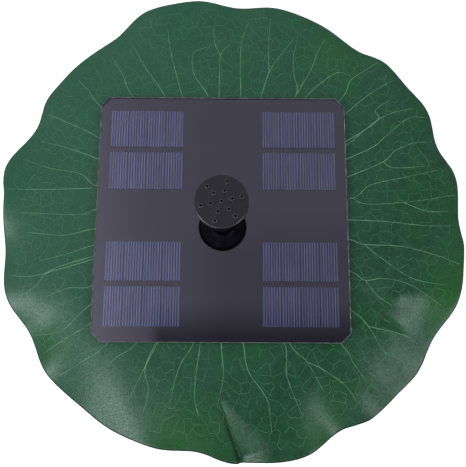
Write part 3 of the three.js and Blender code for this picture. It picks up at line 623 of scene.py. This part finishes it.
def leaf_material():
    """Printed closed-cell foam: deep green with yellower patches and a speckled sheen, with painted light
    paling it towards the far left and painted shade darkening its rim edge.
    """
    g = Material("leaf_foam_green")
    x, y, _ = g.axes(g.place)
    base = g.mix(g.span(g.noise(34, detail=3, distortion=0.6), 0.4, 0.66), LEAF_GREEN, LEAF_YELLOWER)
    base = g.mix(g.span(g.noise(7, detail=4, roughness=0.6), 0.35, 0.75, 0, 0.6), base, LEAF_DARK)
    # Painted light: the green is mixed paler towards the far left and the far side, for the stronger light
    # falling there.
    painted_light_share = g.math("ADD", g.math("MULTIPLY", x, -0.8), g.math("MULTIPLY", y, 0.55))
    base = g.mix(g.span(painted_light_share, -90, 150, 0, 0.62), base, LEAF_PALE)
    for at_x, at_y, size in YELLOW_PATCHES:
        away = g.vector("LENGTH", g.vector("SUBTRACT", g.place, (at_x, at_y, LEAF_TOP / MM)))
        base = g.mix(g.span(away, size, 0, 0, 0.55), base, LEAF_OLIVE)
    fibres = g.noise(1.6, detail=3, roughness=0.7)
    base = g.mix(g.span(fibres, 0.5, 0.72, 0, 0.30), base, LEAF_PALE)
    up = g.axes(g.node("ShaderNodeNewGeometry").outputs["Normal"])[2]
    # Painted shade: the rim edge is coloured near-black for the shade on the sheet's side.
    rim_edge = g.node("ShaderNodeAttribute", {"attribute_name": RIM_EDGE_ATTRIBUTE}).outputs["Fac"]
    base = g.mix(rim_edge, base, LEAF_RIM_PAINTED_SHADE)
    base = g.mix(g.span(up, -0.5, -0.9), base, LEAF_UNDERSIDE)
    grain = g.noise(1.1, detail=3, roughness=0.75)
    bump = g.bump(grain, 0.045, under=g.bump(g.noise(3.2, detail=2), 0.05))
    rough = g.span(grain, 0.3, 0.7, 0.27, 0.37)
    speckle = g.noise(0.55, detail=1)
    gloss = g.span(g.math("SUBTRACT", speckle, rim_edge), 0.34, 0.66, 0.12, 0.46)
    return g.principled(Base_Color=base, Roughness=rough, Normal=bump, Specular_IOR_Level=gloss)


def vein_material(name, tint):
    """Pale printed vein, worn thin here and there."""
    g = Material(name)
    base = g.mix(g.span(g.noise(5, detail=3), 0.38, 0.7, 0, 0.8), tint, LEAF_PALE)
    return g.principled(Base_Color=base, Roughness=0.5)


def moulded_plastic(name, base, rough, grain=0.03):
    """Injection-moulded plastic with a fine spark-eroded grain and slightly uneven gloss."""
    g = Material(name)
    cloud = g.noise(14, detail=2)
    fine = g.noise(0.45, detail=2, roughness=0.7)
    pale = tuple(min(1, c * 1.5 + 0.004) for c in base)
    shade = g.mix(g.span(cloud, 0.3, 0.7), base, pale)
    gloss = g.span(fine, 0.3, 0.7, rough - 0.07, rough + 0.07)
    return g.principled(Base_Color=shade, Roughness=gloss, Normal=g.bump(fine, grain))


def nozzle_material():
    """Near-black grained plastic, shinier where the jets and the rim slope."""
    g = Material("spray_head_plastic")
    fine = g.noise(0.7, detail=2, roughness=0.7)
    shade = g.mix(g.span(fine, 0.55, 0.8, 0, 0.07), (0.0022, 0.0020, 0.0034), (0.12, 0.11, 0.14))
    up = g.axes(g.node("ShaderNodeNewGeometry").outputs["Normal"])[2]
    rough = g.span(up, 0.9, 0.99, 0.24, 0.28)
    shine = g.span(up, 0.9, 0.99, 0.75, 0.43)
    bump = g.bump(fine, 0.02)
    mirror = {"Specular_IOR_Level": shine, "Specular_Tint": (0.95, 0.93, 1.0, 1)}
    return g.principled(Base_Color=shade, Roughness=rough, Normal=bump, **mirror)


def rubber(name, base):
    """Matt black rubber with some dust on it."""
    g = Material(name)
    dust = g.noise(3, detail=4, roughness=0.65)
    shade = g.mix(g.span(dust, 0.5, 0.8, 0, 0.5), base, (0.035, 0.034, 0.033))
    return g.principled(Base_Color=shade, Roughness=0.75, Normal=g.bump(g.noise(0.5, detail=2), 0.04))


def float_foam():
    """Cut closed-cell foam: rounded cells of about a millimetre, some darker where they are open."""
    g = Material("float_foam_grey")
    cells = g.voronoi(1.3)
    size = g.noise(6, detail=2)
    shade = g.mix(g.span(cells, 0.1, 0.8), (0.045, 0.048, 0.052), (0.014, 0.015, 0.017))
    shade = g.mix(g.span(size, 0.4, 0.7, 0, 0.5), shade, (0.03, 0.031, 0.034))
    return g.principled(Base_Color=shade, Roughness=0.82, Normal=g.bump(cells, 0.16))


def sponge():
    """Open filter sponge with holes about two millimetres across, with painted shade making the holes
    near-black.
    """
    g = Material("filter_sponge_grey")
    holes = g.voronoi(2.0)
    fine = g.voronoi(0.8)
    both = g.math("ADD", g.math("MULTIPLY", holes, 0.7), g.math("MULTIPLY", fine, 0.3))
    # Painted shade: the holes, where the bump is lowest, are coloured near-black.
    shade = g.mix(g.span(both, 0.2, 0.6), (0.004, 0.004, 0.005), (0.05, 0.052, 0.056))
    return g.principled(Base_Color=shade, Roughness=0.95, Normal=g.bump(both, 0.7))


def metal(name, base, rough):
    """Turned or sheared metal with fine streaks and a little tarnish."""
    g = Material(name)
    stretched = g.vector("MULTIPLY", g.place, (1.0, 1.0, 9.0))
    streaks = g.noise(0.4, detail=2, at=stretched)
    tarnish = g.noise(4, detail=3)
    darkened = tuple(c * 0.6 for c in base)
    shade = g.mix(g.span(tarnish, 0.45, 0.75, 0, 0.6), base, darkened)
    gloss = g.span(streaks, 0.3, 0.7, rough - 0.08, rough + 0.1)
    return g.principled(Base_Color=shade, Metallic=1.0, Roughness=gloss, Normal=g.bump(streaks, 0.02))


def copper_coil():
    """Wound enamelled wire: rows of turns 0.35 mm apart, with painted shade darkening the grooves between
    them.
    """
    g = Material("copper_winding")
    _, y, _ = g.axes(g.place)
    turns = g.math("SINE", g.math("MULTIPLY", y, 2 * math.pi / 0.35))
    height = g.span(turns, -1, 1)
    # Painted shade: the copper is darker where the turns' bump is lowest, in the grooves between them.
    shade = g.mix(height, (0.16, 0.045, 0.015), (0.62, 0.25, 0.09))
    return g.principled(Base_Color=shade, Metallic=1.0, Roughness=0.3, Normal=g.bump(height, 0.12))


def laminations():
    """Stacked steel sheets 0.5 mm thick, seen from the side as fine layers."""
    g = Material("steel_laminations")
    _, _, z = g.axes(g.place)
    layers = g.span(g.math("SINE", g.math("MULTIPLY", z, 2 * math.pi / 0.5)), -0.9, -0.5)
    rust = g.noise(2.5, detail=3)
    shade = g.mix(layers, (0.05, 0.05, 0.055), (0.42, 0.42, 0.44))
    shade = g.mix(g.span(rust, 0.58, 0.8, 0, 0.6), shade, (0.22, 0.1, 0.05))
    return g.principled(Base_Color=shade, Metallic=0.9, Roughness=0.4, Normal=g.bump(layers, 0.08))


def circuit_board():
    """Green solder mask over faint copper tracks."""
    g = Material("circuit_board_green")
    tracks = g.voronoi(1.7, "DISTANCE_TO_EDGE", randomness=0.2)
    lines = g.span(tracks, 0.05, 0.12, 1, 0)
    shade = g.mix(lines, (0.008, 0.065, 0.022), (0.03, 0.15, 0.05))
    return g.principled(Base_Color=shade, Roughness=0.3, Normal=g.bump(lines, 0.04))


def under_resin(g, base):
    """A surface seen through the clear resin: it takes on the resin's mirror and its faint violet."""
    gloss = g.span(g.noise(45), 0.3, 0.7, 0.015, 0.04)
    inputs = {"Base_Color": base, "Roughness": gloss, "IOR": RESIN_IOR, "Specular_Tint": RESIN_TINT}
    return g.node("ShaderNodeBsdfPrincipled", **inputs).outputs[0]


def board_material():
    """Near-black laminate under clear resin; its cut edges show the paler resin and glass."""
    g = Material("panel_laminate_dark")
    face = g.mix(g.span(g.noise(30), 0.35, 0.7), (0.0012, 0.0010, 0.0022), (0.0022, 0.0020, 0.0036))
    fibres = g.noise(0.8, detail=3)
    tint = g.mix(g.span(fibres, 0.35, 0.7), (0.10, 0.10, 0.10), (0.45, 0.44, 0.42))
    edge = g.node("ShaderNodeBsdfPrincipled", Base_Color=tint, Roughness=0.7).outputs[0]
    return g.surface(g.blend(upright_face(g), under_resin(g, face), edge))


def upright_face(g):
    """1 on faces that stand up, 0 on level ones."""
    normal = g.node("ShaderNodeNewGeometry").outputs["True Normal"]
    tilt = g.math("ABSOLUTE", g.axes(normal)[2])
    return g.span(tilt, 0.9, 0.55)


def cover_material():
    """Clear hard resin. What lies under it carries its mirror. Its sawn outer edges are pale and patchy."""
    g = Material("clear_resin_cover")
    clear = g.node("ShaderNodeBsdfTransparent", Color=(1, 1, 1, 1)).outputs[0]
    patchy = g.span(g.noise(5, detail=4, roughness=0.7), 0.42, 0.6)
    tone_share = g.span(g.axes(g.place)[1], 73.0, 60.0, 0.35, 1.0)  # the pale edge is dimmer along the far side
    tint = g.mix(g.math("MULTIPLY", patchy, tone_share), (0.08, 0.08, 0.085), (0.58, 0.58, 0.60))
    edge = g.node("ShaderNodeBsdfPrincipled", Base_Color=tint, Roughness=0.35).outputs[0]
    x, y, _ = g.axes(g.vector("ABSOLUTE", g.place))
    side = g.span(g.math("MAXIMUM", x, y), *COVER_SIDES)
    corner = g.span(g.math("ADD", x, y), *COVER_CORNERS)
    outer = g.math("MAXIMUM", side, corner)
    return g.surface(g.blend(g.math("MULTIPLY", outer, upright_face(g)), clear, edge))


def cell_material():
    """Dark blue-violet silicon with soft vertical bands."""
    g = Material("silicon_cell_blue")
    banding = g.noise(2.4, detail=3, at=g.vector("MULTIPLY", g.place, (1.0, 0.06, 1.0)))
    shade = g.mix(g.span(banding, 0.35, 0.65), (0.0002, 0.0003, 0.004), (0.0010, 0.0015, 0.010))
    return g.surface(under_resin(g, shade))


def finger_material():
    """Fired silver paste, duller along some lines than along others, with painted shade darkening it
    towards the right of the panel.
    """
    g = Material("silver_fingers")
    tone_share = g.noise(1.5, detail=2, roughness=0.6, at=g.vector("MULTIPLY", g.place, (1.0, 0.05, 1.0)))
    shade = g.mix(g.span(tone_share, 0.36, 0.62), (0.076, 0.087, 0.185), (0.046, 0.054, 0.125))
    # Painted shade: the silver is mixed towards black towards the right, for its reflection of the left
    # light fading across the panel.
    x, _, _ = g.axes(g.place)
    darkened = g.mix(g.span(x, -60, 70, 0, 0.34), shade, (0.0, 0.0, 0.0))
    return g.surface(under_resin(g, darkened))


MATERIALS = {
    "float_foam": float_foam(),
    "black_plastic": moulded_plastic("black_plastic_moulded", (0.011, 0.011, 0.012), 0.42),
    "panel_laminate": board_material(),
    "clear_resin": cover_material(),
    "silicon": cell_material(),
    "black_rubber": rubber("black_rubber_matte", (0.012, 0.012, 0.012)),
    "steel": metal("stainless_steel", (0.55, 0.56, 0.57), 0.3),
    "copper": copper_coil(),
    "laminations": laminations(),
    "ferrite": moulded_plastic("ferrite_magnet", (0.02, 0.02, 0.022), 0.5, grain=0.08),
    "shaft_ceramic": moulded_plastic("white_ceramic", (0.75, 0.74, 0.7), 0.15, grain=0.01),
    "white_plastic": moulded_plastic("white_plastic_moulded", (0.72, 0.73, 0.74), 0.4),
    "circuit_board": circuit_board(),
    "sponge": sponge(),
}
NODE_MATERIALS = dict.fromkeys(("spray_cap", "spray_head_body"), nozzle_material())


# ---------- pieces ----------


def dress_cad_nodes():
    """Gives each CAD node its own or its slot's material. The leaf has neither: build_leaf replaces it."""
    slots = {row["node"]: row["material_slot"] for row in frame["record"]["subparts"]}
    for name, node in frame["nodes"].items():
        look = NODE_MATERIALS.get(name) or MATERIALS.get(slots[name])
        if look is None:
            continue
        node.data.materials.clear()
        node.data.materials.append(look)


def shade_by_angle():
    """A geometry-node group that shades faces smooth except across edges sharper than SHARP_ANGLE."""
    group = bpy.data.node_groups.new("shade_by_angle", "GeometryNodeTree")
    group.interface.new_socket("Geometry", in_out="INPUT", socket_type="NodeSocketGeometry")
    group.interface.new_socket("Geometry", in_out="OUTPUT", socket_type="NodeSocketGeometry")
    nodes, links = group.nodes, group.links
    faces = nodes.new("GeometryNodeSetShadeSmooth")
    edges = nodes.new("GeometryNodeSetShadeSmooth")
    edges.domain = "EDGE"
    angle = nodes.new("GeometryNodeInputMeshEdgeAngle")
    gentle = nodes.new("FunctionNodeCompare")
    gentle.operation = "LESS_THAN"
    gentle.inputs[1].default_value = SHARP_ANGLE
    links.new(nodes.new("NodeGroupInput").outputs[0], faces.inputs["Geometry"])
    links.new(faces.outputs[0], edges.inputs["Geometry"])
    links.new(angle.outputs["Unsigned Angle"], gentle.inputs[0])
    links.new(gentle.outputs[0], edges.inputs["Shade Smooth"])
    links.new(edges.outputs[0], nodes.new("NodeGroupOutput").inputs[0])
    return group


def finish_edges():
    """Joins each CAD node's loose triangles, rounds its moulded edges and shades its curves smooth."""
    shading = shade_by_angle()
    for name, node in frame["nodes"].items():
        node.modifiers.new("joined", "WELD").merge_threshold = WELD_DISTANCE
        if name in EDGE_RADIUS:
            bevel = node.modifiers.new("rounded", "BEVEL")
            bevel.width = EDGE_RADIUS[name] * MM
            bevel.segments = 3
            bevel.limit_method = "ANGLE"
            bevel.angle_limit = BEVEL_ANGLE
        node.modifiers.new("shading", "NODES").node_group = shading
        flat = node.modifiers.new("flat_faces", "WEIGHTED_NORMAL")
        flat.weight = 100
        flat.keep_sharp = True


def build_leaf():
    """The leaf sheet in place of its CAD node, with its veins and the net between them."""
    vertices, faces, on_rim = leaf_mesh()
    sheet = mesh_object("lotus_leaf_sheet", vertices, faces, leaf_material())
    sheet.data.attributes.new(RIM_EDGE_ATTRIBUTE, "FLOAT", "POINT").data.foreach_set("value", on_rim)
    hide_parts("lotus_leaf")
    veins = vein_material("leaf_vein_pale", VEIN_TINT)
    mesh_object("leaf_veins", *strand_mesh(vein_strands()), veins)
    net = vein_material("leaf_net_pale", NET_TINT)
    mesh_object("leaf_vein_net", *strand_mesh(net_strands()), net)


def cell_fingers(low, high):
    """Vertices and faces of one cell's printed lines, which lie on the box low..high."""
    strip_width = (high.x - low.x) / STRIPS
    vertices, faces = [], []
    for strip in range(STRIPS):
        for finger in range(FINGERS):
            x = low.x + strip_width * (strip + 0.5) + FINGER_PITCH * (finger - (FINGERS - 1) / 2)
            base = len(vertices)
            for dz in (0, FINGER_THICKNESS):
                for side, y in ((-1, low.y), (1, low.y), (1, high.y), (-1, high.y)):
                    vertices.append((x + side * FINGER_WIDTH / 2, y, high.z + dz))
            faces.extend(tuple(base + i for i in face) for face in BOX_FACES)
    return vertices, faces


def build_fingers():
    """The printed lines of all eight cells, one piece for each cell."""
    material = finger_material()
    for index in range(1, 9):
        vertices, faces = cell_fingers(*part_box(f"solar_cell_{index}"))
        piece = mesh_object(f"cell_fingers_{index}", vertices, faces, material, smooth=False)


# ---------- stage ----------


def build_floor():
    """A wide near-white floor just under the fountain."""
    g = Material("pale_floor")
    tone = g.noise(900, detail=1)
    shade = g.mix(tone, (0.90, 0.90, 0.90), (0.93, 0.93, 0.93))
    g.principled(Base_Color=shade, Roughness=0.9, Emission_Color=(1, 1, 1, 1), Emission_Strength=0.45)
    mesh = bpy.data.meshes.new("floor")
    corners = [(sx * FLOOR_REACH, sy * FLOOR_REACH, 0) for sx, sy in ((-1, -1), (1, -1), (1, 1), (-1, 1))]
    mesh.from_pydata(corners, [], [(0, 1, 2, 3)])
    mesh.materials.append(g.material)
    floor = bpy.data.objects.new("floor", mesh)
    bpy.context.scene.collection.objects.link(floor)
    floor.location.z = cad_box[0].z - FLOOR_GAP


def softbox(name, azimuth, elevation, width, radiance):
    """A square soft light facing the fountain. Azimuth is in degrees round from +X."""
    flat = LIGHT_DISTANCE * math.cos(math.radians(elevation))
    place = Vector((*plan_point(azimuth, flat), LIGHT_DISTANCE * math.sin(math.radians(elevation))))
    data = bpy.data.lights.new(name, "AREA")
    data.shape = "RECTANGLE"
    data.size = data.size_y = width
    data.energy = radiance * math.pi * width**2
    data.color = LIGHT_TINT
    light = bpy.data.objects.new(name, data)
    light.location = place
    light.rotation_euler = (-place).to_track_quat("-Z", "Y").to_euler()
    bpy.context.scene.collection.objects.link(light)


def build_world():
    """A pale studio, brighter low on the left, with dark gear near the zenith. x, y, z is a direction."""
    world = bpy.data.worlds.new("studio")
    bpy.context.scene.world = world
    world.use_nodes = True
    g = Graph(world.node_tree)
    x, y, z = g.axes(g.node("ShaderNodeTexCoord").outputs["Generated"])
    # The dome brightens with height, and on the left.
    dome = g.math("ADD", g.span(z, 0.0, 0.7, 0.37, 0.77), g.span(x, -0.02, -0.13, 0, 0.14))
    # A pale wall further left, brighter in front.
    wall = g.math("MULTIPLY", g.span(x, -0.13, -0.21, 0, 0.36), g.span(x, -0.42, -0.30))
    wall = g.math("MULTIPLY", wall, g.span(y, 0.40, 0.05, 0.6, 1.9))
    # The dark gear overhead, and the stand that holds it, a little darker than the dome.
    front_end = g.span(y, -0.35, -0.25)
    gear = g.math("MULTIPLY", g.span(x, -0.122, -0.102), g.span(y, 0.110, 0.060, 0, 0.64))
    gear = g.math("MULTIPLY", gear, front_end)
    stand = g.math("MULTIPLY", g.span(x, -0.06, 0.0), g.span(y, 0.25, 0.18, 0, 0.2))
    stand = g.math("MULTIPLY", stand, front_end)
    shade = g.math("MULTIPLY", g.math("SUBTRACT", 1.0, gear), g.math("SUBTRACT", 1.0, stand))
    strength = g.math("MULTIPLY", g.math("ADD", dome, wall), shade)
    back = g.node("ShaderNodeBackground", Color=WORLD_TINT, Strength=strength)
    out = g.node("ShaderNodeOutputWorld")
    g.tree.links.new(back.outputs[0], out.inputs["Surface"])


def build_camera():
    """Looks down on the panel from a little in front."""
    data = bpy.data.cameras.new("camera")
    data.sensor_width = CAMERA_SENSOR
    data.lens = CAMERA_LENS
    data.clip_start = 0.01
    camera = bpy.data.objects.new("camera", data)
    bpy.context.scene.collection.objects.link(camera)
    turn = Matrix.Rotation(math.radians(CAMERA_TURN), 4, "Z")
    turn = turn @ Matrix.Rotation(math.radians(CAMERA_TILT), 4, "X")
    turn = turn @ Matrix.Rotation(math.radians(CAMERA_LEAN), 4, "Y")
    camera.matrix_world = Matrix.Translation(CAMERA_PLACE) @ turn
    bpy.context.scene.camera = camera


dress_cad_nodes()
finish_edges()
build_leaf()
build_fingers()
build_floor()
build_world()
for light in LIGHTS:
    softbox(*light)
build_camera()
bpy.context.scene.view_settings.view_transform = "Standard"
